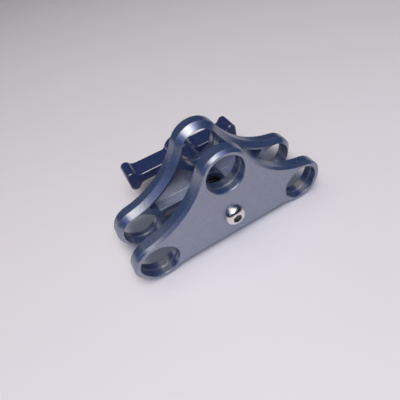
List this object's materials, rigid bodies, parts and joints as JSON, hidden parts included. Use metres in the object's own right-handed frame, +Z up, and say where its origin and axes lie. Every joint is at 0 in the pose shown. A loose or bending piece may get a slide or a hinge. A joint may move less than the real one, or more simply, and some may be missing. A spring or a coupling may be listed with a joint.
{
  "type": "triple ball clamp",
  "caption": "Ribbed triangular clamp plates with a ball socket in each corner, drawn together against a spring by a button-head screw and a long T-handle.",
  "frame": {"origin": "centre of the ball held by the upper sockets, midway between the plates in the rest pose", "axes": "+X along the row of lower sockets, +Y from the front plate to the handle along the screw, +Z up"},
  "size_m": [0.101, 0.0665, 0.0526],
  "materials": {
    "navy_anodised": "satin dark blue-black anodised, machined edges",
    "navy_anodised_handle": "satin dark blue anodised",
    "stainless": "polished stainless steel",
    "spring_steel": "black oxide on drawn spring wire",
    "acetal": "black acetal",
    "brass": "turned"
  },
  "bodies": {
    "front": {"front_plate": "navy_anodised", "clamp_screw": "stainless", "plate_spring": "spring_steel"},
    "rear": {"rear_plate": "navy_anodised", "slip_washer": "acetal"},
    "handle": {"t_handle": "navy_anodised_handle", "thread_insert": "brass", "thrust_washer": "stainless"}
  },
  "joints": [
    {"name": "plate_slide", "type": "slide", "parent": "front", "child": "rear", "axis": [0, 1, 0], "range_m": [-0.004, 0.008], "deforming": ["plate_spring"]},
    {"name": "handle_turn", "type": "hinge", "parent": "rear", "child": "handle", "pos_m": [0, 0.03, -0.0247], "axis": [0, 1, 0], "range_deg": [-1440, 2880]}
  ],
  "couplings": [
    {"joint": "plate_slide", "follows": "handle_turn", "m_per_rad": 0.00015915}
  ]
}
